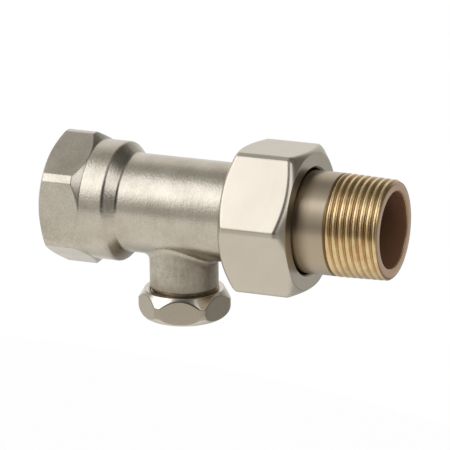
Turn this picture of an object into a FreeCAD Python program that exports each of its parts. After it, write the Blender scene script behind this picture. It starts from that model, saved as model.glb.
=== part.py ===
"""Straight lockshield radiator valve, nominal size 3/4 inch, in millimetres.

+X runs along the pipe from the inlet to the radiator, +Z is up, and the branch with the regulating spindle
points down. The origin is the centre of the inlet mouth. The valve stands fully open, with its blind cap and
union tight. Threads are plain cylinders: those between the pieces are at their pitch radius, and the two pipe
threads at the ends are at their outside radius, so that a male one fits a female one.
"""

import FreeCAD
import Part

import math
import os

from FreeCAD import Vector

# Clearances
THREAD_PLAY = 0.05
SEAL_PLAY = 0.05
SLIDE_PLAY = 0.05
FACE_GAP = 0.05
LOOSE_PLAY = 0.25

# Inlet end: female 3/4 inch pipe thread in a hexagon with a round shoulder behind it
INLET_THREAD_RADIUS = 13.27
INLET_THREAD_DEPTH = 16.3
INLET_MOUTH_CHAMFER = 0.8
INLET_WALL = 2.73
INLET_HEX_LENGTH = 12.0
INLET_CORNER_TURNED = 0.6
INLET_FACE_INSET = 1.3
SHOULDER_STEP = 0.1
SHOULDER_PAST_THREAD = 2.3
SHOULDER_EDGE_RADIUS = 1.2
TUBE_FOOT_RADIUS = 0.8
DRILL_POINT_ANGLE = 59.0

# Main tube and the two offset drillings that lead over and under the seat
BORE_RADIUS = 9.75
TUBE_WALL = 3.35
INLET_RUN = 4.5
OUTLET_RUN = 8.5
PORT_RADIUS = 3.9
PORT_OFFSET = 4.9
PARTITION_WALL = 2.75
BRANCH_FILLET = 1.9

# Spindle, turning in a 14 x 1 thread of the branch
SPINDLE_PITCH_RADIUS = 6.675
SPINDLE_LIFT = 3.0
SPINDLE_THREAD_LENGTH = 4.6
SPINDLE_BORE_STEP = 0.425
SPINDLE_UNDERCUT = 0.9
SPINDLE_END_CHAMFER = 0.5
SEAT_HEIGHT = -1.5
SEAT_LAND = 1.05
SEAT_SEAL_THICKNESS = 1.4
SEAT_SEAL_WIDTH = 1.7
CONE_LIP = 0.6
CONE_LENGTH = 1.9
CONE_TIP_RADIUS = 2.6
SPINDLE_SEAL_SECTION = 1.5
SEAL_LAND = 0.6
KEY_FLATS = 8.0
KEY_DEPTH = 5.0

# Snap ring that keeps the spindle in the branch
STOP_RING_HEIGHT = 0.9
STOP_RING_SEAT = 0.5
STOP_RING_REACH = 0.7
STOP_RING_INSET = 0.8
STOP_RING_MOUTH = 4.0

# Blind cap on an 18 x 1 thread at the end of the branch
SPIGOT_WALL = 2.0
SPIGOT_LENGTH = 5.2
BRANCH_SHOULDER = 0.425
CAP_WALL = 2.325
CAP_GAP = 0.8
CAP_END_WALL = 2.3
CAP_CORNER_TURNED = 0.45
CAP_TOP_RIM = 1.47
CAP_CONE_ANGLE = 59.0
CAP_FOOT_RADIUS = 3.2
CAP_STANDING_ANGLE = 17.0
GASKET_THICKNESS = 1.1
GASKET_WIDTH = 3.2
LEAD_CHAMFER = 0.5

# Union: tailpiece with a male 3/4 inch thread, held by the collar in a 1 inch nut
TAIL_THREAD_RADIUS = 13.22
TAIL_THREAD_LENGTH = 13.65
TAIL_END_CHAMFER = 0.9
TAIL_WALL = 3.22
NECK_STEP = 0.18
NECK_LENGTH = 13.65
NECK_GROOVE_WIDTH = 0.8
NECK_GROOVE_DEPTH = 0.7
NOSE_WALL = 2.4
NOSE_LENGTH = 5.0
UNION_SEAL_SECTION = 1.6
COLLAR_THICKNESS = 2.6
COLLAR_OVERLAP = 1.05
LIP_CLEARANCE = 0.5
UNION_CREST_PLAY = 0.195
UNION_HALF_DEPTH = 0.74
UNION_THREAD_LENGTH = 9.5
NUT_COVER = 1.9
NUT_LIP = 4.55
NUT_WALL = 2.615
NUT_FACE_INSET = 0.4
NUT_EDGE_RADIUS = 2.2
NUT_STANDING_ANGLE = -4.0

# Hexagons and the angles of their turned ends
HEX_SIDES = 6
END_CHAMFER_ANGLE = 30.0
BACK_CHAMFER_ANGLE = 45.0
SAME_PLACE = 0.01


def corner_radius(apothem):
    """Radius of a hexagon's corners."""
    return apothem / math.cos(math.pi / HEX_SIDES)


# Inlet end, worked out
INLET_APOTHEM = INLET_THREAD_RADIUS + INLET_WALL
INLET_CORNER_RADIUS = corner_radius(INLET_APOTHEM) - INLET_CORNER_TURNED
SHOULDER_RADIUS = INLET_APOTHEM - SHOULDER_STEP
SHOULDER_END = INLET_THREAD_DEPTH + SHOULDER_PAST_THREAD
TUBE_RADIUS = BORE_RADIUS + TUBE_WALL
TUBE_START = SHOULDER_END + SHOULDER_RADIUS - TUBE_RADIUS

# Branch, worked out from the inside: bore, spindle thread, cap thread, shoulder
SPINDLE_BORE_RADIUS = SPINDLE_PITCH_RADIUS - SPINDLE_BORE_STEP
SPINDLE_NUT_RADIUS = SPINDLE_PITCH_RADIUS + THREAD_PLAY
SPINDLE_NUT_CONE = SPINDLE_NUT_RADIUS - SPINDLE_BORE_RADIUS
STEM_RADIUS = SPINDLE_BORE_RADIUS - SLIDE_PLAY
SEAT_RADIUS = SPINDLE_BORE_RADIUS - SEAT_LAND
CAP_PITCH_RADIUS = SPINDLE_PITCH_RADIUS + SPIGOT_WALL
SPIGOT_RADIUS = CAP_PITCH_RADIUS - THREAD_PLAY
BRANCH_RADIUS = CAP_PITCH_RADIUS + BRANCH_SHOULDER
BRANCH_X = TUBE_START + INLET_RUN + BRANCH_RADIUS
PARTITION_HALF = SPINDLE_BORE_RADIUS + PARTITION_WALL

# Heights along the branch with the spindle open: the seals stay below the outlet port when it closes
PORT_BOTTOM = -PORT_OFFSET - PORT_RADIUS
PLUG_TOP = SEAT_HEIGHT - SPINDLE_LIFT
GROOVE_WIDTH = SPINDLE_SEAL_SECTION + 2 * SEAL_PLAY
UPPER_SEAL_Z = PORT_BOTTOM - SPINDLE_LIFT - SEAL_LAND / 2 - GROOVE_WIDTH / 2
LOWER_SEAL_Z = UPPER_SEAL_Z - GROOVE_WIDTH - SEAL_LAND
STEM_END = LOWER_SEAL_Z - GROOVE_WIDTH / 2 - SEAL_LAND / 2
SMOOTH_BORE_END = STEM_END - SLIDE_PLAY
SPINDLE_THREAD_TOP = SMOOTH_BORE_END - SPINDLE_NUT_CONE - SPINDLE_LIFT - LOOSE_PLAY
SPINDLE_BOTTOM = SPINDLE_THREAD_TOP - SPINDLE_THREAD_LENGTH
STOP_RING_TOP = SPINDLE_BOTTOM - FACE_GAP
STOP_RING_BOTTOM = STOP_RING_TOP - STOP_RING_HEIGHT
SPIGOT_END = STOP_RING_BOTTOM - STOP_RING_INSET
BRANCH_END = SPIGOT_END + SPIGOT_LENGTH
CAP_TOP = BRANCH_END - CAP_GAP
GASKET_TOP = SPIGOT_END - FACE_GAP
CAP_FLOOR = GASKET_TOP - GASKET_THICKNESS
CAP_BOTTOM = CAP_FLOOR - CAP_END_WALL
CAP_APOTHEM = CAP_PITCH_RADIUS + CAP_WALL
CAP_CORNER_RADIUS = corner_radius(CAP_APOTHEM) - CAP_CORNER_TURNED

# Union, worked out from the tail thread outwards
TAIL_BORE_RADIUS = TAIL_THREAD_RADIUS - TAIL_WALL
NECK_RADIUS = TAIL_THREAD_RADIUS + NECK_STEP
LIP_RADIUS = NECK_RADIUS + LIP_CLEARANCE
COLLAR_RADIUS = LIP_RADIUS + COLLAR_OVERLAP
UNION_PITCH_RADIUS = COLLAR_RADIUS + UNION_CREST_PLAY + UNION_HALF_DEPTH
NUT_APOTHEM = UNION_PITCH_RADIUS + NUT_WALL
NOSE_RADIUS = TAIL_BORE_RADIUS + NOSE_WALL
SOCKET_RADIUS = NOSE_RADIUS + LOOSE_PLAY
NUT_START = BRANCH_X + BRANCH_RADIUS + OUTLET_RUN
UNION_START = NUT_START + NUT_COVER
UNION_FACE = UNION_START + UNION_THREAD_LENGTH
COLLAR_START = UNION_FACE + 2 * FACE_GAP
COLLAR_END = COLLAR_START + COLLAR_THICKNESS
LIP_START = COLLAR_END + 2 * FACE_GAP
NUT_END = LIP_START + NUT_LIP
NOSE_START = COLLAR_START - NOSE_LENGTH
UNION_SEAL_X = COLLAR_START - NOSE_LENGTH / 2
TAIL_THREAD_START = COLLAR_END + NECK_LENGTH
TAIL_END = TAIL_THREAD_START + TAIL_THREAD_LENGTH

ALONG_X = Vector(1, 0, 0)
ALONG_Z = Vector(0, 0, 1)
BRANCH_AXIS = Vector(BRANCH_X, 0, 0)


def revolved(points, centre, axis):
    """Solid of revolution of a closed outline."""
    face = Part.Face(Part.makePolygon(points + points[:1]))
    solid = face.revolve(centre, axis, 360)
    if solid.Volume < 0:
        solid.reverse()
    return solid


def pipe_turned(outline):
    """Turned solid about the pipe axis, from (place along X, radius) pairs."""
    return revolved([Vector(along, 0, radius) for along, radius in outline], Vector(), ALONG_X)


def branch_turned(outline):
    """Turned solid about the branch axis, from (radius, height) pairs."""
    points = [Vector(BRANCH_X + radius, 0, height) for radius, height in outline]
    return revolved(points, BRANCH_AXIS, ALONG_Z)


def branch_rod(radius, bottom, top):
    return Part.makeCylinder(radius, top - bottom, Vector(BRANCH_X, 0, bottom), ALONG_Z)


def branch_ring(outer, inner, bottom, top):
    return branch_rod(outer, bottom, top).cut(branch_rod(inner, bottom, top))


def hexagon(apothem, centre, axis, first_flat, length):
    """Hexagon prism from a centre along an axis; first_flat points at the middle of one of its flats."""
    spoke = first_flat * corner_radius(apothem)
    points = []
    for side in range(HEX_SIDES):
        turn = FreeCAD.Rotation(axis, 360 * (side + 0.5) / HEX_SIDES)
        points.append(centre + turn.multVec(spoke))
    face = Part.Face(Part.makePolygon(points + points[:1]))
    return face.extrude(axis * length)


def long_edges(prism, axis):
    """Edges of a prism that run along its axis."""
    edges = []
    for edge in prism.Edges:
        direction = edge.tangentAt(edge.FirstParameter)
        if direction.cross(axis).Length < SAME_PLACE:
            edges.append(edge)
    return edges


def ring_edges(turned, along):
    """Edges of a turned solid that run round the pipe axis at a place along it."""
    edges = []
    for edge in turned.Edges:
        box = edge.BoundBox
        if max(abs(box.XMin - along), abs(box.XMax - along)) < SAME_PLACE:
            edges.append(edge)
    return edges


def rise(radial_step, angle):
    """Axial length of a chamfer that covers a radial step at an angle to the face."""
    return radial_step * math.tan(math.radians(angle))


def inlet_hexagon():
    """Hexagon of the pipe end, its corners turned round and both ends chamfered."""
    face_radius = INLET_APOTHEM - INLET_FACE_INSET
    front = rise(INLET_CORNER_RADIUS - face_radius, END_CHAMFER_ANGLE)
    back = rise(INLET_CORNER_RADIUS - SHOULDER_RADIUS, BACK_CHAMFER_ANGLE)
    turned = pipe_turned([
        (0, 0),
        (0, face_radius),
        (front, INLET_CORNER_RADIUS),
        (INLET_HEX_LENGTH - back, INLET_CORNER_RADIUS),
        (INLET_HEX_LENGTH, SHOULDER_RADIUS),
        (INLET_HEX_LENGTH, 0),
    ])
    prism = hexagon(INLET_APOTHEM, Vector(), ALONG_X, Vector(0, -1, 0), INLET_HEX_LENGTH)
    return prism.common(turned)


def turned_body():
    """Shoulder, cone, main tube and the union spigot with its thread; the cone's two edges are rounded."""
    spigot = UNION_PITCH_RADIUS - THREAD_PLAY
    body = pipe_turned([
        (INLET_HEX_LENGTH, 0),
        (INLET_HEX_LENGTH, SHOULDER_RADIUS),
        (SHOULDER_END, SHOULDER_RADIUS),
        (TUBE_START, TUBE_RADIUS),
        (UNION_START, TUBE_RADIUS),
        (UNION_START, spigot - LEAD_CHAMFER),
        (UNION_START + LEAD_CHAMFER, spigot),
        (UNION_FACE - LEAD_CHAMFER, spigot),
        (UNION_FACE, spigot - LEAD_CHAMFER),
        (UNION_FACE, 0),
    ])
    body = body.makeFillet(SHOULDER_EDGE_RADIUS, ring_edges(body, SHOULDER_END))
    return body.makeFillet(TUBE_FOOT_RADIUS, ring_edges(body, TUBE_START))


def on_branch_seam(edge):
    """True for an edge that lies on both the main tube and the branch."""
    for point in edge.discretize(5):
        off_tube = math.hypot(point.y, point.z) - TUBE_RADIUS
        off_branch = math.hypot(point.x - BRANCH_X, point.y) - BRANCH_RADIUS
        if max(abs(off_tube), abs(off_branch)) > SAME_PLACE:
            return False
    return True


def outer_body():
    """Outside of the body, with the forged fillet between tube and branch."""
    body = turned_body().fuse(branch_rod(BRANCH_RADIUS, BRANCH_END, 0)).removeSplitter()
    fillet = min(BRANCH_FILLET, (TUBE_RADIUS - BRANCH_RADIUS) / 2)
    body = body.makeFillet(fillet, [edge for edge in body.Edges if on_branch_seam(edge)])
    spigot = branch_turned([
        (0, SPIGOT_END),
        (SPIGOT_RADIUS - LEAD_CHAMFER, SPIGOT_END),
        (SPIGOT_RADIUS, SPIGOT_END + LEAD_CHAMFER),
        (SPIGOT_RADIUS, BRANCH_END),
        (0, BRANCH_END),
    ])
    return body.fuse([inlet_hexagon(), spigot]).removeSplitter()


def inlet_bore():
    """Threaded socket with its mouth chamfer and drill point, and the bore up to the partition."""
    point = (INLET_THREAD_RADIUS - BORE_RADIUS) / math.tan(math.radians(DRILL_POINT_ANGLE))
    partition = BRANCH_X - PARTITION_HALF
    return pipe_turned([
        (0, 0),
        (0, INLET_THREAD_RADIUS + INLET_MOUTH_CHAMFER),
        (INLET_MOUTH_CHAMFER, INLET_THREAD_RADIUS),
        (INLET_THREAD_DEPTH, INLET_THREAD_RADIUS),
        (INLET_THREAD_DEPTH + point, BORE_RADIUS),
        (partition, BORE_RADIUS),
        (partition, 0),
    ])


def outlet_bore():
    """Bore from the partition to the union face, opened out for the nose of the tailpiece."""
    partition = BRANCH_X + PARTITION_HALF
    socket = NOSE_START - LOOSE_PLAY
    return pipe_turned([
        (partition, 0),
        (partition, BORE_RADIUS),
        (socket, BORE_RADIUS),
        (socket, SOCKET_RADIUS),
        (UNION_FACE - LEAD_CHAMFER, SOCKET_RADIUS),
        (UNION_FACE, SOCKET_RADIUS + LEAD_CHAMFER),
        (UNION_FACE, 0),
    ])


def seat_passages():
    """Upper and lower drilling and the seat hole that joins them."""
    reach = PARTITION_HALF + PARTITION_WALL
    upper = Part.makeCylinder(PORT_RADIUS, reach, Vector(BRANCH_X - reach, 0, PORT_OFFSET), ALONG_X)
    lower = Part.makeCylinder(PORT_RADIUS, reach, Vector(BRANCH_X, 0, -PORT_OFFSET), ALONG_X)
    seat_hole = branch_rod(SEAT_RADIUS, SEAT_HEIGHT, PORT_OFFSET)
    return upper.fuse([lower, seat_hole])


def spindle_bore():
    """Smooth bore below the seat, thread, groove of the stop ring and mouth."""
    groove = SPINDLE_NUT_RADIUS + STOP_RING_SEAT
    return branch_turned([
        (0, SEAT_HEIGHT),
        (SPINDLE_BORE_RADIUS, SEAT_HEIGHT),
        (SPINDLE_BORE_RADIUS, SMOOTH_BORE_END),
        (SPINDLE_NUT_RADIUS, SMOOTH_BORE_END - SPINDLE_NUT_CONE),
        (SPINDLE_NUT_RADIUS, STOP_RING_TOP + FACE_GAP),
        (groove, STOP_RING_TOP + FACE_GAP),
        (groove, STOP_RING_BOTTOM - FACE_GAP),
        (SPINDLE_NUT_RADIUS, STOP_RING_BOTTOM - FACE_GAP),
        (SPINDLE_NUT_RADIUS, SPIGOT_END),
        (0, SPIGOT_END),
    ])


def valve_body():
    hollow = [inlet_bore(), outlet_bore(), seat_passages(), spindle_bore()]
    return outer_body().cut(hollow)


def union_nut():
    """Hexagon nut with a thread, a relief behind it and the lip that draws in the collar."""
    corner = corner_radius(NUT_APOTHEM)
    face_radius = NUT_APOTHEM - NUT_FACE_INSET
    end = rise(corner - face_radius, END_CHAMFER_ANGLE)
    thread = UNION_PITCH_RADIUS + THREAD_PLAY
    relief = thread + UNION_HALF_DEPTH
    top_flat = FreeCAD.Rotation(ALONG_X, NUT_STANDING_ANGLE).multVec(ALONG_Z)
    prism = hexagon(NUT_APOTHEM, Vector(NUT_START, 0, 0), ALONG_X, top_flat, NUT_END - NUT_START)
    prism = prism.makeFillet(NUT_EDGE_RADIUS, long_edges(prism, ALONG_X))
    turned = pipe_turned([
        (NUT_START, 0),
        (NUT_START, face_radius),
        (NUT_START + end, corner),
        (NUT_END - end, corner),
        (NUT_END, face_radius),
        (NUT_END, 0),
    ])
    bore = pipe_turned([
        (NUT_START, 0),
        (NUT_START, relief + LEAD_CHAMFER),
        (NUT_START + relief + LEAD_CHAMFER - thread, thread),
        (UNION_FACE, thread),
        (UNION_FACE, relief),
        (LIP_START, relief),
        (LIP_START, LIP_RADIUS),
        (NUT_END - LEAD_CHAMFER, LIP_RADIUS),
        (NUT_END, LIP_RADIUS + LEAD_CHAMFER),
        (NUT_END, 0),
    ])
    return prism.common(turned).cut(bore)


def tailpiece():
    """Nose with its seal groove, collar, neck, run-out groove, thread and through bore."""
    groove_floor = SOCKET_RADIUS - 2 * SEAL_PLAY - UNION_SEAL_SECTION
    groove_half = UNION_SEAL_SECTION / 2 + SEAL_PLAY
    runout = TAIL_THREAD_START - NECK_GROOVE_WIDTH
    return pipe_turned([
        (NOSE_START, TAIL_BORE_RADIUS),
        (NOSE_START, NOSE_RADIUS - LEAD_CHAMFER),
        (NOSE_START + LEAD_CHAMFER, NOSE_RADIUS),
        (UNION_SEAL_X - groove_half, NOSE_RADIUS),
        (UNION_SEAL_X - groove_half, groove_floor),
        (UNION_SEAL_X + groove_half, groove_floor),
        (UNION_SEAL_X + groove_half, NOSE_RADIUS),
        (COLLAR_START, NOSE_RADIUS),
        (COLLAR_START, COLLAR_RADIUS),
        (COLLAR_END, COLLAR_RADIUS),
        (COLLAR_END, NECK_RADIUS),
        (runout, NECK_RADIUS),
        (runout, NECK_RADIUS - NECK_GROOVE_DEPTH),
        (TAIL_THREAD_START, NECK_RADIUS - NECK_GROOVE_DEPTH),
        (TAIL_THREAD_START, TAIL_THREAD_RADIUS),
        (TAIL_END - TAIL_END_CHAMFER, TAIL_THREAD_RADIUS),
        (TAIL_END, TAIL_THREAD_RADIUS - TAIL_END_CHAMFER),
        (TAIL_END, TAIL_BORE_RADIUS),
    ])


def union_seal():
    centre_radius = SOCKET_RADIUS - SEAL_PLAY - UNION_SEAL_SECTION / 2
    return Part.makeTorus(centre_radius, UNION_SEAL_SECTION / 2, Vector(UNION_SEAL_X, 0, 0), ALONG_X)


def key_socket():
    """Hexagon socket with its drill point."""
    apothem = KEY_FLATS / 2
    top = SPINDLE_BOTTOM + KEY_DEPTH
    point = apothem / math.tan(math.radians(DRILL_POINT_ANGLE))
    hollow = hexagon(apothem, Vector(BRANCH_X, 0, SPINDLE_BOTTOM), ALONG_Z, Vector(0, -1, 0), KEY_DEPTH)
    drilled = branch_turned([
        (0, SPINDLE_BOTTOM),
        (apothem, SPINDLE_BOTTOM),
        (apothem, top),
        (0, top + point),
    ])
    return hollow.fuse(drilled)


def regulating_spindle():
    """Throttling cone, neck of the seat seal, stem with two seal grooves, and screw with a key socket."""
    seal_foot = PLUG_TOP - SEAT_SEAL_THICKNESS - SEAL_PLAY
    seal_floor = SPINDLE_BORE_RADIUS - LOOSE_PLAY - SEAT_SEAL_WIDTH - SEAL_PLAY
    lip = SEAT_RADIUS - LOOSE_PLAY
    lip_bottom = PLUG_TOP + SEAL_PLAY
    groove_floor = SPINDLE_BORE_RADIUS - 2 * SEAL_PLAY - SPINDLE_SEAL_SECTION
    thread = SPINDLE_PITCH_RADIUS - THREAD_PLAY
    outline = [
        (0, lip_bottom + CONE_LIP + CONE_LENGTH),
        (CONE_TIP_RADIUS, lip_bottom + CONE_LIP + CONE_LENGTH),
        (lip, lip_bottom + CONE_LIP),
        (lip, lip_bottom),
        (seal_floor, lip_bottom),
        (seal_floor, seal_foot),
        (STEM_RADIUS, seal_foot),
    ]
    for seal_z in (UPPER_SEAL_Z, LOWER_SEAL_Z):
        outline += [
            (STEM_RADIUS, seal_z + GROOVE_WIDTH / 2),
            (groove_floor, seal_z + GROOVE_WIDTH / 2),
            (groove_floor, seal_z - GROOVE_WIDTH / 2),
            (STEM_RADIUS, seal_z - GROOVE_WIDTH / 2),
        ]
    outline += [
        (STEM_RADIUS, STEM_END),
        (thread - SPINDLE_UNDERCUT, STEM_END),
        (thread - SPINDLE_UNDERCUT, SPINDLE_THREAD_TOP),
        (thread, SPINDLE_THREAD_TOP),
        (thread, SPINDLE_BOTTOM + SPINDLE_END_CHAMFER),
        (thread - SPINDLE_END_CHAMFER, SPINDLE_BOTTOM),
        (0, SPINDLE_BOTTOM),
    ]
    return branch_turned(outline).cut(key_socket())


def spindle_seal(seal_z):
    """One O-ring of the stem."""
    section = SPINDLE_SEAL_SECTION / 2
    centre_radius = SPINDLE_BORE_RADIUS - SEAL_PLAY - section
    return Part.makeTorus(centre_radius, section, Vector(BRANCH_X, 0, seal_z), ALONG_Z)


def seat_seal():
    """Flat soft ring held under the lip of the cone."""
    outer = SPINDLE_BORE_RADIUS - LOOSE_PLAY
    return branch_ring(outer, outer - SEAT_SEAL_WIDTH, PLUG_TOP - SEAT_SEAL_THICKNESS, PLUG_TOP)


def spindle_stop_ring():
    """Open snap ring in the groove of the branch."""
    outer = SPINDLE_NUT_RADIUS + STOP_RING_SEAT - SEAL_PLAY
    inner = SPINDLE_PITCH_RADIUS - STOP_RING_REACH
    ring = branch_ring(outer, inner, STOP_RING_BOTTOM, STOP_RING_TOP)
    corner = Vector(BRANCH_X, -STOP_RING_MOUTH / 2, STOP_RING_BOTTOM)
    return ring.cut(Part.makeBox(outer + STOP_RING_SEAT, STOP_RING_MOUTH, STOP_RING_HEIGHT, corner))


def cap_nut():
    """Low hexagon cap, coned at the top and rounded at the closed end."""
    top_radius = BRANCH_RADIUS + CAP_TOP_RIM
    shoulder = CAP_TOP - rise(CAP_CORNER_RADIUS - top_radius, CAP_CONE_ANGLE)
    thread = CAP_PITCH_RADIUS + THREAD_PLAY
    front_flat = FreeCAD.Rotation(ALONG_Z, CAP_STANDING_ANGLE).multVec(Vector(0, -1, 0))
    prism = hexagon(CAP_APOTHEM, Vector(BRANCH_X, 0, CAP_BOTTOM), ALONG_Z, front_flat, CAP_TOP - CAP_BOTTOM)
    turned = branch_turned([
        (0, CAP_BOTTOM),
        (CAP_CORNER_RADIUS, CAP_BOTTOM),
        (CAP_CORNER_RADIUS, shoulder),
        (top_radius, CAP_TOP),
        (0, CAP_TOP),
    ])
    foot = [edge for edge in turned.Edges if edge.BoundBox.ZMax < CAP_BOTTOM + SAME_PLACE]
    turned = turned.makeFillet(CAP_FOOT_RADIUS, foot)
    bore = branch_turned([
        (0, CAP_FLOOR),
        (thread, CAP_FLOOR),
        (thread, CAP_TOP - BRANCH_SHOULDER),
        (thread + BRANCH_SHOULDER, CAP_TOP),
        (0, CAP_TOP),
    ])
    return prism.common(turned).cut(bore)


def cap_gasket():
    """Flat ring on the floor of the cap, under the end of the spigot."""
    outer = CAP_PITCH_RADIUS - LOOSE_PLAY
    return branch_ring(outer, outer - GASKET_WIDTH, CAP_FLOOR, GASKET_TOP)


PIECES = {
    "valve_body": valve_body(),
    "union_nut": union_nut(),
    "tailpiece": tailpiece(),
    "union_seal": union_seal(),
    "regulating_spindle": regulating_spindle(),
    "spindle_seal_upper": spindle_seal(UPPER_SEAL_Z),
    "spindle_seal_lower": spindle_seal(LOWER_SEAL_Z),
    "seat_seal": seat_seal(),
    "spindle_stop_ring": spindle_stop_ring(),
    "cap_nut": cap_nut(),
    "cap_gasket": cap_gasket(),
}

os.makedirs("parts", exist_ok=True)
for name, piece in PIECES.items():
    piece.exportStep(f"parts/{name}.step")
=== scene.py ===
"""Looks of a straight lockshield radiator valve: satin nickel, a bare brass thread, soft seals."""

import math

import bmesh
import bpy
import numpy as np
from mathutils import Matrix, Vector


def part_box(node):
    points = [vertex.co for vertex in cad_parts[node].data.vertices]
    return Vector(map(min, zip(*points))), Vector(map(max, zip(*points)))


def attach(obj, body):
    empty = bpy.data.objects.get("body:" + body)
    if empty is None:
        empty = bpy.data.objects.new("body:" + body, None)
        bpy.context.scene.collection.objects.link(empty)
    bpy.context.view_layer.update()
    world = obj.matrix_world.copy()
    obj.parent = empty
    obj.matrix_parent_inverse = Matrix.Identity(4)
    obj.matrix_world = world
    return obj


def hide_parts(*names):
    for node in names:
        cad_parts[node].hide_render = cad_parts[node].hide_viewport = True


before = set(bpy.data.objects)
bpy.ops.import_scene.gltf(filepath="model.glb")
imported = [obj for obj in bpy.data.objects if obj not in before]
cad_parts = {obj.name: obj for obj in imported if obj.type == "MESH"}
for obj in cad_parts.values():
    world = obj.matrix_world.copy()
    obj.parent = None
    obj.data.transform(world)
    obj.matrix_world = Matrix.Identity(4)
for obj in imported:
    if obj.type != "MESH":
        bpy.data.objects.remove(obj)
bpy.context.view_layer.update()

MM = 0.001
TURN = 2 * math.pi
HEX_SIDES = 6
HEX_STEP = 360 / HEX_SIDES

# Places along the pipe and the branch, in millimetres, from the solids
NOSE_START, TAIL_END = (corner.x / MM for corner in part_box("tailpiece"))
NUT_START, NUT_END = (corner.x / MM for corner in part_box("union_nut"))
CAP_BOTTOM, CAP_TOP = (corner.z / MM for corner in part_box("cap_nut"))
UNION_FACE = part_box("valve_body")[1].x / MM
SPIGOT_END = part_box("valve_body")[0].z / MM
BRANCH_X = sum(corner.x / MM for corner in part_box("cap_nut")) / 2
COLLAR_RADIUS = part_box("tailpiece")[1].z / MM

# Tailpiece
TAIL_BORE = 10.0
NOSE_RADIUS = 12.4
SEAL_GROOVE = (61.6, 1.7, 10.95)
COLLAR = (64.1, 66.7)
NECK_RADIUS = 13.4
NECK_END = 79.55
RUNOUT_FLOOR = 12.35
TAIL_THREAD_START = 80.35
TAIL_PITCH = 1.814
TAIL_THREAD_DEPTH = 0.6
TAIL_CREST_START = 13.45
TAIL_TAPER = 1 / 32
TAIL_END_CHAMFER = 0.4
TAIL_END_ROUNDING = 0.4
TAIL_CREST_WIDENING = 0.3
TAIL_RIM_MIDDLE = TAIL_BORE + 1.6

# Union nut and the thread under it
NUT_APOTHEM = 18.5
NUT_FACE_RADIUS = 18.1
NUT_FACE_FLAT = NUT_FACE_RADIUS - 0.3
NUT_CORNER_RADIUS = 20.92
NUT_CORNER_SPREAD = 3.6
NUT_BACK_BLEND = 1.2
NUT_FRONT_BLEND = 1.9
NUT_CHAMFER_ANGLE = 30.0
NUT_STANDING_ANGLE = -4.0
UNION_PITCH = 2.309
UNION_PITCH_RADIUS = 15.885
UNION_HALF_DEPTH = 0.72
UNION_THREAD_START = 54.9
NUT_RELIEF_RADIUS = 16.675
NUT_LIP = (66.8, 13.9)
NUT_MOUTH_RADIUS = 17.2
NUT_BORE_START = 53.85

# Blind cap and the thread under it
CAP_APOTHEM = 11.0
CAP_CORNER_RADIUS = 12.25
CAP_CORNER_SPREAD = 5.0
CAP_TOP_RADIUS = 10.57
CAP_CONE_ANGLE = 59.0
CAP_FOOT_RADIUS = 3.2
CAP_STANDING_ANGLE = 17.0
CAP_FLOOR = -27.475
CAP_PITCH = 1.0
CAP_PITCH_RADIUS = 8.675
CAP_HALF_DEPTH = 0.3
CAP_MOUTH = 0.45
BRANCH_END = -21.125

# Pipe end
INLET_ROOT_RADIUS = 13.27
INLET_THREAD_DEPTH = 1.16
INLET_THREAD_SPAN = (0.9, 15.6)
HEX_END = 12.0
SHOULDER_END = 18.6
TUBE_START = 21.4
TUBE_RADIUS = 13.1

# Blend where a hexagon's corners are turned down
CORNER_BLEND = 0.15

# Play between threads, and how far an added thread is sunk into what carries it
THREAD_PLAY = 0.05
SUNK = 0.3

# Fineness of the meshes
ROUND_ANGLES = 192
ROWS_PER_PITCH = 16
ARC_STEPS = 5


# Node trees, written as expressions

class Wire:
    """One output of a shader node. Arithmetic on it adds Math nodes."""

    def __init__(self, graph, socket):
        self.graph = graph
        self.socket = socket

    def maths(self, operation, first, second):
        settings = {"operation": operation}
        return self.graph.node("ShaderNodeMath", settings, {0: first, 1: second})["Value"]

    def __add__(self, other):
        return self.maths("ADD", self, other)

    def __radd__(self, other):
        return self.maths("ADD", other, self)

    def __sub__(self, other):
        return self.maths("SUBTRACT", self, other)

    def __rsub__(self, other):
        return self.maths("SUBTRACT", other, self)

    def __mul__(self, other):
        return self.maths("MULTIPLY", self, other)

    def __rmul__(self, other):
        return self.maths("MULTIPLY", other, self)

    def __pow__(self, other):
        return self.maths("POWER", self, other)

    def high(self, other):
        return self.maths("MAXIMUM", self, other)

    def rise(self, start, end):
        """Smooth step from 0 at start to 1 at end; start may be the larger."""
        values = {"Value": self, "From Min": start, "From Max": end}
        return self.graph.node("ShaderNodeMapRange", {"interpolation_type": "SMOOTHSTEP"}, values)["Result"]


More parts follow.
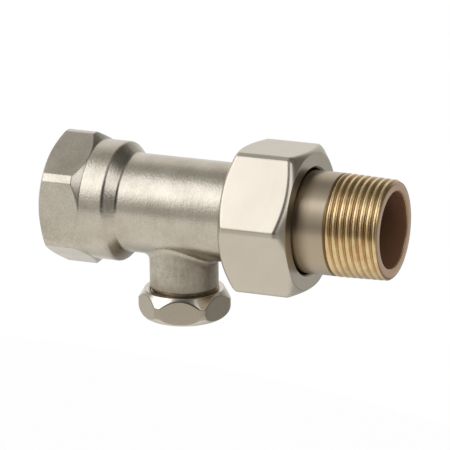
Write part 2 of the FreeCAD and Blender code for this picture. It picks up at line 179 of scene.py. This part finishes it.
class Graph:
    """A node tree of a finish, or of the world."""

    def __init__(self, tree):
        self.tree = tree

    def node(self, kind, settings=None, values=None):
        """Adds a node: its settings first, then values or links on its sockets. Gives its outputs by name."""
        made = self.tree.nodes.new(kind)
        for name, value in (settings or {}).items():
            setattr(made, name, value)
        usable = [socket for socket in made.inputs if socket.enabled]
        for key, value in (values or {}).items():
            if isinstance(key, int):
                socket = usable[key]
            else:
                socket = next(one for one in usable if one.name == key)
            if isinstance(value, Wire):
                self.tree.links.new(value.socket, socket)
            else:
                socket.default_value = value
        return {socket.name: Wire(self, socket) for socket in made.outputs if socket.enabled}

    def place(self):
        """Place on the piece, as a vector in millimetres."""
        metres = self.node("ShaderNodeTexCoord")["Object"]
        return self.stretched(metres, (1 / MM, 1 / MM, 1 / MM))

    def parts(self, vector):
        """The three parts of a vector."""
        made = self.node("ShaderNodeSeparateXYZ", values={0: vector})
        return made["X"], made["Y"], made["Z"]

    def rays(self):
        """Rays that come straight from the camera, and rays that come by way of a mirror or glass."""
        path = self.node("ShaderNodeLightPath")
        return path["Is Camera Ray"], path["Is Glossy Ray"].high(path["Is Transmission Ray"])

    def stretched(self, vector, scale):
        settings = {"operation": "MULTIPLY"}
        return self.node("ShaderNodeVectorMath", settings, {0: vector, 1: scale})["Vector"]

    def noise(self, vector, scale, detail=3.0, rough=0.55):
        """Noise about 0.5, with lumps as many to the millimetre as scale says along each axis."""
        values = {"Vector": self.stretched(vector, scale), "Scale": 1.0, "Detail": detail, "Roughness": rough}
        return self.node("ShaderNodeTexNoise", {"normalize": True}, values)["Fac"]

    def mix(self, factor, first, second):
        """Colour between two colours."""
        values = {"Factor": factor, "A": first, "B": second}
        return self.node("ShaderNodeMix", {"data_type": "RGBA"}, values)["Result"]

    def soft_edges(self, radius_mm):
        """Normal that is rounded beside sharp edges."""
        return self.node("ShaderNodeBevel", {"samples": 6}, {"Radius": radius_mm * MM})["Normal"]

    def bump(self, height, depth_mm, **base):
        values = {"Height": height, "Strength": 1.0, "Distance": depth_mm * MM}
        return self.node("ShaderNodeBump", values={**values, **base})["Normal"]


class Finish(Graph):
    """A material with one principled shader."""

    def __init__(self, name):
        self.material = bpy.data.materials.new(name)
        self.material.use_nodes = True
        super().__init__(self.material.node_tree)
        self.shader = self.tree.nodes["Principled BSDF"]

    def shade(self, **sockets):
        """Sets or links sockets of the shader; a socket's name has underscores for its spaces."""
        for name, value in sockets.items():
            socket = self.shader.inputs[name.replace("_", " ")]
            if isinstance(value, Wire):
                self.tree.links.new(value.socket, socket)
            else:
                socket.default_value = value
        return self.material


def paint(red, green, blue):
    """Colour of a shader from a colour as seen, in 0 to 255."""
    return tuple(seen_to_linear(part / 255) for part in (red, green, blue)) + (1.0,)


def seen_to_linear(part):
    return part / 12.92 if part <= 0.04045 else ((part + 0.055) / 1.055) ** 2.4


# Finishes

NICKEL_SHADE = paint(168, 158, 140)
NICKEL_BRIGHT = paint(206, 198, 182)
NICKEL_NUT = paint(194, 184, 166)
NICKEL_DULL = paint(163, 153, 136)
# Brown mixed into the body as painted shade, and for its darkening towards the cap.
PAINTED_SHADE_BROWN = paint(116, 104, 86)
NECK_NICKEL = paint(174, 159, 136)
# Darker neck tone: painted shade towards the nut, and streaks.
NECK_SHADE = paint(136, 120, 98)
BRASS = paint(222, 198, 149)
BRASS_SHADE = paint(200, 162, 114)
# Painted shade in the tail thread's grooves.
BRASS_GROOVE = paint(140, 102, 66)
BRASS_TARNISH = paint(172, 128, 97)
BRASS_END = paint(205, 170, 138)


def distance_from_pipe(across, up):
    return (across * across + up * up) ** 0.5


def body_nickel():
    """Forged body: fine pits on the turned tube and shoulder, grain on the hexagon, a duller cast branch,
    some painted shade.
    """
    finish = Finish("body_nickel")
    spot = finish.place()
    along, across, up = finish.parts(spot)
    off_axis = distance_from_pipe(across, up)
    branch = off_axis.rise(TUBE_RADIUS + 0.1, TUBE_RADIUS + 1.0) * along.rise(TUBE_START + 1, TUBE_START + 2)
    turned = along.rise(HEX_END - 0.1, HEX_END + 0.1) * (1 - branch)
    # Painted shade: the branch's right side is darkened.
    right_side = branch * along.rise(BRANCH_X - 5, BRANCH_X + 9)
    # Painted shade on the fillet between the branch and the tube, at the right, dimming its reflection.
    by_tube = off_axis.rise(TUBE_RADIUS + 3.0, TUBE_RADIUS + 1.0)
    seam = branch * by_tube * along.rise(BRANCH_X + 1, BRANCH_X + 8)
    # The branch darkens towards the cap.
    by_cap = up.rise(BRANCH_END + 4.5, BRANCH_END)
    # Painted shade beneath the shoulder and the tube, left of the branch.
    under = along.rise(SHOULDER_END - 1.5, SHOULDER_END + 1.5) * along.rise(BRANCH_X + 2, BRANCH_X - 8)
    under = under * up.rise(-6.5, -13.0) * (0.4 + along.rise(TUBE_START + 0.8, TUBE_START - 0.2) * 0.4)
    lines = finish.noise(spot, (3.0, 0.2, 0.2), detail=3)
    pits = finish.noise(spot, (1.7, 1.7, 1.7), detail=4, rough=0.6)
    grain = finish.noise(spot, (2.2, 2.2, 2.2), detail=4, rough=0.65)
    lumps = finish.noise(spot, (1.0, 1.0, 0.55), detail=4, rough=0.6)
    clouds = finish.noise(spot, (0.14, 0.14, 0.14), detail=3)
    texture = turned * (lines * 0.35 + pits * 0.65) + (1 - turned) * (grain * 1.6 - 0.3)
    texture = texture + branch * (lumps - 0.55) * 1.6
    tone = texture * 0.5 + clouds * 0.6 - 0.05
    plated = finish.mix(tone.rise(0.15, 0.85), NICKEL_SHADE, NICKEL_BRIGHT)
    # Painted shade beneath the shoulder, on the branch's right side and at its seam, plus the darkening
    # towards the cap.
    painted_shade_and_cap_tint = (right_side * 0.5).high(under * (1 - branch)).high(by_cap * 0.5).high(seam * 0.85)
    colour = finish.mix(painted_shade_and_cap_tint, plated, PAINTED_SHADE_BROWN)
    roughness = 0.2 + turned * pits * 0.1 + (1 - turned) * (0.08 + branch * 0.1)
    height = turned * (lines * 0.35 + pits) + (1 - turned) * grain * (0.2 + branch * 0.4) + branch * lumps
    normal = finish.bump(height, 0.038, Normal=finish.soft_edges(0.45))
    return finish.shade(Base_Color=colour, Metallic=1.0, Roughness=roughness, Normal=normal)


def nut_nickel():
    """Milled flats, almost smooth, with faint brushing across them."""
    finish = Finish("nut_nickel")
    spot = finish.place()
    lines = finish.noise(spot, (2.4, 0.10, 0.10), detail=2)
    clouds = finish.noise(spot, (0.12, 0.12, 0.12), detail=3)
    tone = lines * 0.3 + clouds * 0.8 - 0.05
    colour = finish.mix(tone.rise(0.1, 1.2), NICKEL_NUT, NICKEL_BRIGHT)
    roughness = 0.28 + lines * 0.08
    normal = finish.bump(lines * 0.5 + clouds * 0.5, 0.003)
    return finish.shade(Base_Color=colour, Metallic=1.0, Roughness=roughness, Normal=normal)


def cap_nickel():
    """Blind cap: bright turned cone and foot, duller flats between them, all a little uneven."""
    finish = Finish("cap_nickel")
    spot = finish.place()
    facing = finish.node("ShaderNodeTexCoord")["Normal"]
    tilt = finish.parts(facing)[2]
    cone = (tilt * tilt).rise(0.05, 0.2)
    waves = finish.noise(spot, (0.35, 0.35, 0.35), detail=3)
    grain = finish.noise(spot, (1.6, 1.6, 1.6), detail=4, rough=0.6)
    tone = waves * 0.7 + grain * 0.4
    flats = finish.mix(tone.rise(0.3, 0.8), NICKEL_DULL, NICKEL_SHADE)
    colour = finish.mix(cone, flats, NICKEL_BRIGHT)
    roughness = 0.18 + waves * 0.06 + (1 - cone) * grain * 0.1
    height = waves + (1 - cone) * grain * 0.15
    normal = finish.bump(height, 0.03)
    return finish.shade(Base_Color=colour, Metallic=1.0, Roughness=roughness, Normal=normal)


def tail_metal():
    """Nickel on the collar and neck, bare brass on the thread and the end, tarnished brass in the bore."""
    finish = Finish("tail_metal")
    spot = finish.place()
    along, across, up = finish.parts(spot)
    off_axis = distance_from_pipe(across, up)
    bare = along.rise(NECK_END + 0.2, TAIL_THREAD_START)
    inside = off_axis.rise(TAIL_BORE + 0.15, TAIL_BORE + 0.03)
    crest = TAIL_CREST_START - (along - TAIL_THREAD_START) * TAIL_TAPER
    # Painted shade in the thread's grooves, darker where they are deeper.
    groove = (crest - off_axis).rise(0.15, TAIL_THREAD_DEPTH) * (1 - inside)
    # Painted shade: the neck darkens towards the nut.
    by_nut = along.rise(NUT_END + 5.5, NUT_END + 0.5)
    lines = finish.noise(spot, (2.0, 0.16, 0.16), detail=4)
    stain = finish.noise(spot, (0.35, 0.35, 0.35), detail=4)
    end_face = along.rise(TAIL_END - 0.12, TAIL_END - 0.04)
    nickel = finish.mix((by_nut * 0.8 + lines * 0.25).rise(0.1, 1.0), NECK_NICKEL, NECK_SHADE)
    brass = finish.mix(stain.rise(0.25, 0.85), BRASS, BRASS_SHADE)
    brass = finish.mix(groove * 0.5, brass, BRASS_GROOVE)
    brass = finish.mix(end_face, brass, BRASS_END)
    metal = finish.mix(bare, nickel, brass)
    colour = finish.mix(inside, metal, BRASS_TARNISH)
    roughness = 0.2 + (1 - bare) * 0.06 + lines * 0.08 + inside * 0.15
    metallic = 1 - inside * 0.7
    normal = finish.bump(lines, 0.004)
    return finish.shade(Base_Color=colour, Metallic=metallic, Roughness=roughness, Normal=normal)


def thread_nickel():
    """Thin plating over a cut thread."""
    finish = Finish("thread_nickel")
    spot = finish.place()
    lines = finish.noise(spot, (3.0, 0.2, 0.2), detail=3)
    colour = finish.mix(lines.rise(0.25, 0.75), NICKEL_SHADE, NICKEL_BRIGHT)
    return finish.shade(Base_Color=colour, Metallic=1.0, Roughness=0.22 + lines * 0.15)


def turned_brass(name, light, dark):
    """Turned bare brass, with rings round the spindle's axis."""
    finish = Finish(name)
    spot = finish.place()
    rings = finish.noise(spot, (0.15, 0.15, 5.0), detail=3)
    stain = finish.noise(spot, (0.4, 0.4, 0.4), detail=3)
    colour = finish.mix((rings * 0.4 + stain * 0.6).rise(0.25, 0.8), light, dark)
    roughness = 0.2 + rings * 0.15
    normal = finish.bump(rings, 0.006)
    return finish.shade(Base_Color=colour, Metallic=1.0, Roughness=roughness, Normal=normal)


def seal_rubber():
    """Black rubber with a faint moulded grain."""
    finish = Finish("seal_rubber")
    spot = finish.place()
    grain = finish.noise(spot, (6.0, 6.0, 6.0), detail=2)
    colour = finish.mix(grain.rise(0.3, 0.7), paint(24, 24, 24), paint(40, 39, 38))
    return finish.shade(Base_Color=colour, Roughness=0.45 + grain * 0.2, Normal=finish.bump(grain, 0.01))


def spring_steel():
    """Plain steel wire, blued in places."""
    finish = Finish("spring_steel")
    spot = finish.place()
    drawn = finish.noise(spot, (0.8, 0.8, 8.0), detail=3)
    colour = finish.mix(drawn.rise(0.3, 0.75), paint(150, 150, 154), paint(112, 112, 118))
    return finish.shade(Base_Color=colour, Metallic=1.0, Roughness=0.25 + drawn * 0.2)


def gasket_fibre():
    """Red-brown fibre with matted strands."""
    finish = Finish("gasket_fibre")
    spot = finish.place()
    strands = finish.noise(spot, (4.0, 4.0, 9.0), detail=5, rough=0.7)
    colour = finish.mix(strands.rise(0.3, 0.7), paint(126, 52, 38), paint(166, 84, 62))
    return finish.shade(Base_Color=colour, Roughness=0.75 + strands * 0.2, Normal=finish.bump(strands, 0.03))


# Turned meshes: rows of points round an axis

def about_pipe(along, radius, angles):
    return np.stack([along, radius * np.cos(angles), radius * np.sin(angles)], -1)


def about_branch(along, radius, angles):
    return np.stack([BRANCH_X + radius * np.cos(angles), radius * np.sin(angles), along], -1)


def turned_mesh(name, rows, angles, about, looped=True):
    """Mesh from rows of (place along the axis, radius), each a number or one number for each angle."""
    count = len(angles)
    rings = []
    for along, radius in rows:
        rings.append(about(np.broadcast_to(along, count), np.broadcast_to(radius, count), angles))
    points = np.concatenate(rings) * MM
    last = len(rows) if looped else len(rows) - 1
    faces = []
    for row in range(last):
        here = row * count
        above = (row + 1) % len(rows) * count
        for step in range(count):
            beside = (step + 1) % count
            faces.append((here + step, here + beside, above + beside, above + step))
    mesh = bpy.data.meshes.new(name)
    mesh.from_pydata(points.tolist(), [], faces)
    tidy = bmesh.new()
    tidy.from_mesh(mesh)
    bmesh.ops.remove_doubles(tidy, verts=tidy.verts, dist=MM * 1e-4)
    bmesh.ops.recalc_face_normals(tidy, faces=tidy.faces)
    tidy.to_mesh(mesh)
    tidy.free()
    mesh.shade_smooth()
    made = bpy.data.objects.new(name, mesh)
    bpy.context.scene.collection.objects.link(made)
    return made


def dress(piece, material, body, slot, *nodes):
    """Gives a made piece its finish and body, and hides the solids that it stands for."""
    piece.data.materials.append(material)
    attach(piece, body)
    if nodes:
        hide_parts(*nodes)
    return piece


def weigh_normals(piece):
    """Keeps flats flat beside their rounded edges."""
    weighted = piece.modifiers.new("flats", "WEIGHTED_NORMAL")
    weighted.weight = 90
    weighted.keep_sharp = False


def rounded_outline(corners):
    """Rows of an outline of (along, radius, rounding) corners, with an arc where there is a rounding."""
    rows = []
    for before, here, after in zip([None] + corners[:-1], corners, corners[1:] + [None]):
        spot = Vector(here[:2])
        rounding = here[2]
        if before is None or after is None or rounding == 0:
            rows.append(tuple(spot))
            continue
        back = (Vector(before[:2]) - spot).normalized()
        ahead = (Vector(after[:2]) - spot).normalized()
        half = back.angle(ahead) / 2
        start = spot + back * rounding / math.tan(half)
        end = spot + ahead * rounding / math.tan(half)
        middle = spot + (back + ahead).normalized() * rounding / math.sin(half)
        for step in range(ARC_STEPS + 1):
            between = start.lerp(end, step / ARC_STEPS) - middle
            rows.append(tuple(middle + between.normalized() * rounding))
    return rows


def thread_wave(along, angles, pitch, widening=0.0):
    """Right-hand thread form: 1 on the crest and -1 in the groove. Widening gives it broader crests."""
    phase = along / pitch - angles / TURN
    triangle = 1 - 4 * np.abs(phase - np.round(phase))
    return np.sin(np.clip(1.25 * (triangle + widening), -1, 1) * math.pi / 2)


def soft_low(first, second, blend):
    """The smaller of two, rounded where they cross."""
    near = np.maximum(blend - np.abs(first - second), 0) / blend
    return np.minimum(first, second) - near * near * blend / 4


def hex_angles(first_flat, spread):
    """Angles round a hexagon, closer together within a spread of each corner, from the middle of a flat."""
    plain = np.arange(0, 360, 1.0)
    corners = [HEX_STEP * (side + 0.5) for side in range(HEX_SIDES)]
    close = np.concatenate([corner + np.linspace(-spread, spread, 15) for corner in corners])
    turned = np.unique(np.round(np.concatenate([plain, close]) % 360, 4))
    return np.radians(turned + first_flat)


def hex_radius(angles, first_flat, apothem):
    """Outline of a hexagon with sharp corners."""
    sector = math.radians(HEX_STEP)
    from_flat = (angles - math.radians(first_flat) + sector / 2) % sector - sector / 2
    return apothem / np.cos(from_flat)


def tail_thread_rows(angles):
    """Taper thread of the tail, running out at the neck and into the chamfer at the end."""
    steps = int(ROWS_PER_PITCH * (TAIL_END - TAIL_THREAD_START) / TAIL_PITCH)
    rows = []
    for along in np.linspace(TAIL_THREAD_START, TAIL_END, steps):
        past = along - TAIL_THREAD_START
        crest = TAIL_CREST_START - past * TAIL_TAPER
        depth = TAIL_THREAD_DEPTH * min(1.0, 0.5 + past / TAIL_PITCH)
        wave = thread_wave(along, angles, TAIL_PITCH, TAIL_CREST_WIDENING)
        thread = crest - depth * (1 - wave) / 2
        chamfer = crest - TAIL_END_CHAMFER + (TAIL_END - along)
        rows.append((along, soft_low(thread, chamfer, 0.2)))
    return rows


def tailpiece():
    """Nose with its seal groove, collar, neck, runout, taper thread and bored end."""
    angles = np.linspace(0, TURN, ROUND_ANGLES, endpoint=False)
    middle, width, floor = SEAL_GROOVE
    outline = rounded_outline([
        (NOSE_START, TAIL_BORE, 0),
        (NOSE_START, NOSE_RADIUS, 0.5),
        (middle - width / 2, NOSE_RADIUS, 0.1),
        (middle - width / 2, floor, 0.1),
        (middle + width / 2, floor, 0.1),
        (middle + width / 2, NOSE_RADIUS, 0.1),
        (COLLAR[0], NOSE_RADIUS, 0.2),
        (COLLAR[0], COLLAR_RADIUS, 0.3),
        (COLLAR[1], COLLAR_RADIUS, 0.3),
        (COLLAR[1], NECK_RADIUS, 0.2),
        (NECK_END, NECK_RADIUS, 0.25),
        (NECK_END + 0.35, RUNOUT_FLOOR, 0.15),
        (TAIL_THREAD_START, RUNOUT_FLOOR, 0),
    ])
    rim = rounded_outline([
        (TAIL_END, TAIL_RIM_MIDDLE, 0),
        (TAIL_END, TAIL_BORE, TAIL_END_ROUNDING),
        (TAIL_END - 3 * TAIL_END_ROUNDING, TAIL_BORE, 0),
    ])
    rows = outline + tail_thread_rows(angles) + rim
    made = turned_mesh("threaded_tailpiece", rows, angles, about_pipe)
    return dress(made, tail_metal(), "tail", "tail_brass", "tailpiece")


def nut_end_rows(outline, blend):
    """Rows of (depth from an end of the nut, radius): the chamfer, blended into the flats."""
    slope = 1 / math.tan(math.radians(NUT_CHAMFER_ANGLE))
    chamfer = (NUT_CORNER_RADIUS - NUT_FACE_RADIUS + blend) / slope
    half = (NUT_END - NUT_START) / 2
    depths = np.concatenate([np.linspace(0, chamfer, 28), [chamfer + 0.7, half - 2.0]])
    return [(depth, soft_low(outline, NUT_FACE_RADIUS + depth * slope, blend)) for depth in depths]


def union_nut():
    """Hexagon with turned ends, and a bore with the lip, the relief and the female thread."""
    first_flat = 90 + NUT_STANDING_ANGLE
    angles = hex_angles(first_flat, NUT_CORNER_SPREAD)
    outline = soft_low(hex_radius(angles, first_flat, NUT_APOTHEM), NUT_CORNER_RADIUS, CORNER_BLEND)
    left = [(NUT_START + depth, radius) for depth, radius in nut_end_rows(outline, NUT_BACK_BLEND)]
    right = [(NUT_END - depth, radius) for depth, radius in reversed(nut_end_rows(outline, NUT_FRONT_BLEND))]
    bore = rounded_outline([
        (NUT_END, NUT_FACE_FLAT, 0),
        (NUT_END, NUT_LIP[1] + 0.5, 0.15),
        (NUT_END - 0.5, NUT_LIP[1], 0.15),
        (NUT_LIP[0], NUT_LIP[1], 0),
        (NUT_LIP[0], NUT_RELIEF_RADIUS, 0),
        (UNION_FACE, NUT_RELIEF_RADIUS, 0),
    ])
    thread = []
    steps = int(ROWS_PER_PITCH * (UNION_FACE - NUT_BORE_START) / UNION_PITCH)
    for along in np.linspace(UNION_FACE, NUT_BORE_START, steps):
        wave = UNION_HALF_DEPTH * thread_wave(along, angles, UNION_PITCH)
        cut = np.maximum(wave, 0) + UNION_PITCH_RADIUS + THREAD_PLAY
        thread.append((along, cut))
    mouth = [(NUT_START, NUT_MOUTH_RADIUS), (NUT_START, NUT_FACE_FLAT)]
    made = turned_mesh("hexagon_union_nut", left + right + bore + thread + mouth, angles, about_pipe)
    weigh_normals(made)
    return dress(made, nut_nickel(), "nut", "nickel_plated_brass", "union_nut")


def cap_outline(height):
    """Radius of the turned cap at a height: rounded foot, then upright, then the cone under the rim."""
    above = height - CAP_BOTTOM
    cone = CAP_TOP_RADIUS + (CAP_TOP - height) / math.tan(math.radians(CAP_CONE_ANGLE))
    if above < CAP_FOOT_RADIUS:
        down = CAP_FOOT_RADIUS - above
        foot = CAP_CORNER_RADIUS - CAP_FOOT_RADIUS + math.sqrt(CAP_FOOT_RADIUS ** 2 - down ** 2)
        return min(foot, cone)
    return min(CAP_CORNER_RADIUS, cone)


def cap_nut():
    """Hexagon with a turned cone and foot, and a threaded blind bore."""
    first_flat = -90 + CAP_STANDING_ANGLE
    angles = hex_angles(first_flat, CAP_CORNER_SPREAD)
    outline = hex_radius(angles, first_flat, CAP_APOTHEM)
    foot = CAP_BOTTOM + CAP_FOOT_RADIUS * (1 - np.cos(np.linspace(0, math.pi / 2, 16)))
    cone_start = CAP_TOP - (CAP_CORNER_RADIUS - CAP_TOP_RADIUS) * math.tan(math.radians(CAP_CONE_ANGLE))
    heights = np.concatenate([foot, np.linspace(CAP_BOTTOM + CAP_FOOT_RADIUS + 0.4, cone_start - 0.3, 5)])
    heights = np.concatenate([heights, np.linspace(cone_start - 0.1, CAP_TOP, 26)])
    outside = [(CAP_BOTTOM, 0.0), (CAP_BOTTOM, 6.0), (CAP_BOTTOM, CAP_CORNER_RADIUS - CAP_FOOT_RADIUS - 0.4)]
    for height in heights:
        outside.append((height, soft_low(outline, cap_outline(height), CORNER_BLEND)))
    bore = CAP_PITCH_RADIUS + THREAD_PLAY
    mouth = [(CAP_TOP, CAP_TOP_RADIUS - 0.25), (CAP_TOP, bore + CAP_MOUTH)]
    thread = []
    start = CAP_TOP - CAP_MOUTH
    steps = int(ROWS_PER_PITCH * (start - CAP_FLOOR) / CAP_PITCH)
    for height in np.linspace(start, CAP_FLOOR, steps):
        wave = CAP_HALF_DEPTH * thread_wave(height, angles, CAP_PITCH)
        thread.append((height, np.maximum(wave, 0) + bore))
    rows = outside + mouth + thread + [(CAP_FLOOR, 0.0)]
    made = turned_mesh("hexagon_blind_cap", rows, angles, about_branch, looped=False)
    weigh_normals(made)
    return dress(made, cap_nickel(), "cap", "nickel_plated_brass", "cap_nut")


def thread_ring(name, span, wave_radius, back_radius, about, pitch):
    """Closed ring with a thread on one side; the other side is sunk into the piece that carries it."""
    angles = np.linspace(0, TURN, ROUND_ANGLES, endpoint=False)
    start, end = span
    steps = int(ROWS_PER_PITCH * (end - start) / pitch)
    rows = []
    for along in np.linspace(start, end, steps):
        ease = np.clip(min(along - start, end - along) / (0.6 * pitch), 0, 1)
        rows.append((along, wave_radius(thread_wave(along, angles, pitch), ease)))
    rows += [(end, back_radius), (start, back_radius)]
    return turned_mesh(name, rows, angles, about)


def spigot_thread(name, span, pitch_radius, half_depth, about, pitch, material):
    """Male thread on a spigot of the body; its grooves end at the plain spigot."""
    root = pitch_radius - THREAD_PLAY

    def surface(wave, ease):
        return root - SUNK / 3 + (wave * half_depth + SUNK / 3) * ease

    made = thread_ring(name, span, surface, root - SUNK, about, pitch)
    return dress(made, material, "body", "nickel_plated_brass")


def inlet_thread():
    """Female pipe thread; its grooves end at the plain socket."""
    def surface(wave, ease):
        return INLET_ROOT_RADIUS + 0.04 - INLET_THREAD_DEPTH * (wave + 1) / 2 * ease

    back = INLET_ROOT_RADIUS + SUNK
    made = thread_ring("inlet_thread", INLET_THREAD_SPAN, surface, back, about_pipe, TAIL_PITCH)
    return dress(made, thread_nickel(), "body", "nickel_plated_brass")


def dress_solids():
    """Finishes of the solids that show as they are."""
    rubber = seal_rubber()
    finishes = {
        "valve_body": body_nickel(),
        "regulating_spindle": turned_brass("spindle_brass", BRASS, BRASS_SHADE),
        "spindle_stop_ring": spring_steel(),
        "cap_gasket": gasket_fibre(),
        "union_seal": rubber,
        "spindle_seal_upper": rubber,
        "spindle_seal_lower": rubber,
        "seat_seal": rubber,
    }
    for name, material in finishes.items():
        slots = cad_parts[name].material_slots
        for place in range(len(slots)):
            slots[place].material = material


# Camera at the photograph's angle

CAMERA_AZIMUTH = 24.22
CAMERA_ELEVATION = 16.24
CAMERA_ROLL = -0.88
CAMERA_DISTANCE = 950.0
CAMERA_LENS = 289.84
CAMERA_SENSOR = 36.0
CAMERA_LOOKS_AT = (35.0, 0.0, 0.0)
CAMERA_AIM_RIGHT = 10.96
CAMERA_AIM_UP = -4.67


def make_camera():
    """Camera with a long lens, turned round the branch and aimed a little off it."""
    azimuth, elevation, roll = (math.radians(a) for a in (CAMERA_AZIMUTH, CAMERA_ELEVATION, CAMERA_ROLL))
    level = math.cos(elevation)
    back = Vector((math.sin(azimuth) * level, -math.cos(azimuth) * level, math.sin(elevation)))
    right = Vector((math.cos(azimuth), math.sin(azimuth), 0))
    up = back.cross(right)
    right, up = math.cos(roll) * right + math.sin(roll) * up, math.cos(roll) * up - math.sin(roll) * right
    centre = Vector(CAMERA_LOOKS_AT)
    eye = centre + back * CAMERA_DISTANCE
    aim = centre + right * CAMERA_AIM_RIGHT + up * CAMERA_AIM_UP
    toward = (eye - aim).normalized()
    side = up.cross(toward).normalized()
    over = toward.cross(side)
    data = bpy.data.cameras.new("camera")
    data.lens = CAMERA_LENS
    data.sensor_width = CAMERA_SENSOR
    data.clip_start = 0.05
    data.clip_end = 10.0
    camera = bpy.data.objects.new("camera", data)
    turn = Matrix((side, over, toward)).transposed().to_4x4()
    camera.matrix_world = Matrix.Translation(eye * MM) @ turn
    bpy.context.scene.collection.objects.link(camera)
    bpy.context.scene.camera = camera


# Studio: pale floor, soft lamps, white background

FLOOR_RADIUS = 350.0
FLOOR_CENTRE = (-65.0, -220.0)
FLOOR_BELOW = 60.0
FLOOR_GLOW = 0.97
FLOOR_FADES = (72.0, -28.0)
FLOOR_LEFT = (0.0, -50.0)
LAMP_DISTANCE = 1.3

# Levels of the room as the metal reflects it
ROOM_LEFT = 0.58
ROOM_RIGHT = 0.32
ROOM_LOW_LEFT = 0.8
ROOM_LOW_RIGHT = 0.6
ROOM_REFLECTOR = 0.3
SCREEN_RIGHT = 0.38
DARK_CORNER = 0.6
DARK_CAMERA = 0.75
CAMERA_SIDE = (0.394, -0.876, 0.28)
REFLECTOR_SIDE = (-0.52, -0.742, 0.423)


def make_floor():
    """Round pale table, white in view. Metal mirrors it white only in front and at the left."""
    angles = np.linspace(0, TURN, 96, endpoint=False)
    low = CAP_BOTTOM - FLOOR_BELOW
    mesh = bpy.data.meshes.new("floor")
    ring = np.stack([
        FLOOR_CENTRE[0] + FLOOR_RADIUS * np.cos(angles),
        FLOOR_CENTRE[1] + FLOOR_RADIUS * np.sin(angles),
        np.full_like(angles, low),
    ], -1) * MM
    mesh.from_pydata(ring.tolist(), [], [tuple(range(len(ring)))])
    floor = bpy.data.objects.new("floor", mesh)
    bpy.context.scene.collection.objects.link(floor)
    finish = Finish("floor_white")
    finish.shade(Base_Color=(0.95, 0.95, 0.95, 1.0), Roughness=0.9)
    glow = finish.node("ShaderNodeEmission", values={"Color": (1, 1, 1, 1), "Strength": 1.0})["Emission"]
    lit = Wire(finish, finish.shader.outputs["BSDF"])
    seen, mirrored = finish.rays()
    along, across, _ = finish.parts(finish.place())
    white = across.rise(*FLOOR_FADES).high(along.rise(*FLOOR_LEFT))
    share = seen.high(mirrored * white) * FLOOR_GLOW
    shown = finish.node("ShaderNodeMixShader", values={0: share, 1: lit, 2: glow})["Shader"]
    finish.tree.links.new(shown.socket, finish.tree.nodes["Material Output"].inputs["Surface"])
    mesh.materials.append(finish.material)


def make_world():
    """White in view and on a screen behind the part; around it a room, dim at the right and by the camera."""
    world = bpy.data.worlds.new("studio")
    world.use_nodes = True
    bpy.context.scene.world = world
    graph = Graph(world.node_tree)
    seen, mirrored = graph.rays()
    direction = graph.node("ShaderNodeTexCoord")["Generated"]
    right, back, up = graph.parts(direction)
    facing = {"operation": "DOT_PRODUCT"}
    camera_side = graph.node("ShaderNodeVectorMath", facing, {0: direction, 1: CAMERA_SIDE})["Value"]
    reflector_side = graph.node("ShaderNodeVectorMath", facing, {0: direction, 1: REFLECTOR_SIDE})["Value"]
    sides = ROOM_RIGHT + right.rise(0.5, -0.6) * (ROOM_LEFT - ROOM_RIGHT)
    sides = sides + reflector_side.rise(0.91, 0.98) * ROOM_REFLECTOR
    low = ROOM_LOW_RIGHT + right.rise(0.5, -0.5) * (ROOM_LOW_LEFT - ROOM_LOW_RIGHT)
    below = up.rise(-0.12, -0.36)
    corner = back.rise(-0.2, 0.4) * right.rise(-0.6, -0.1) * DARK_CORNER
    camera = camera_side.rise(0.72, 0.95) * DARK_CAMERA
    room = (below * low + (1 - below) * sides) * (1 - corner) * (1 - camera)
    screen = SCREEN_RIGHT + right.rise(0.45, -0.35) * (1 - SCREEN_RIGHT)
    screen = screen * back.rise(0.2, 0.7) * (up + right * 0.7).rise(0.82, 0.36) * up.rise(-0.5, -0.36)
    shown = seen.high(mirrored * screen)
    strength = shown + (1 - shown) * room
    background = world.node_tree.nodes["Background"]
    background.inputs["Color"].default_value = (1, 1, 1, 1)
    world.node_tree.links.new(strength.socket, background.inputs["Strength"])


def make_lamp(name, toward, size, power, colour):
    """Soft lamp in a direction from the part, facing it."""
    data = bpy.data.lights.new(name, "AREA")
    data.shape = "RECTANGLE"
    data.size, data.size_y = size
    data.energy = power
    data.color = colour
    lamp = bpy.data.objects.new(name, data)
    centre = Vector((BRANCH_X * MM, 0, 0))
    direction = Vector(toward).normalized()
    lamp.location = centre + direction * LAMP_DISTANCE
    lamp.rotation_euler = direction.to_track_quat("Z", "Y").to_euler()
    lamp.visible_camera = False
    bpy.context.scene.collection.objects.link(lamp)


def make_studio():
    """Floor, room and two soft boxes."""
    make_floor()
    make_world()
    make_lamp("soft_box", (-0.633, -0.411, 0.656), (1.43, 1.1), 7.8, (0.86, 0.89, 1.0))
    make_lamp("side_box", (0.79, -0.21, 0.576), (0.66, 0.85), 2.8, (0.9, 0.92, 1.0))
    bpy.context.scene.view_settings.view_transform = "Standard"


tailpiece()
union_nut()
cap_nut()
inlet_thread()
spigot_thread(
    "union_thread", (UNION_THREAD_START, UNION_FACE - 0.4), UNION_PITCH_RADIUS, UNION_HALF_DEPTH,
    about_pipe, UNION_PITCH, thread_nickel(),
)
spigot_thread(
    "cap_thread", (SPIGOT_END + 0.4, BRANCH_END - 0.05), CAP_PITCH_RADIUS, CAP_HALF_DEPTH,
    about_branch, CAP_PITCH, turned_brass("tarnished_brass", BRASS_SHADE, BRASS_TARNISH),
)
dress_solids()
make_camera()
make_studio()
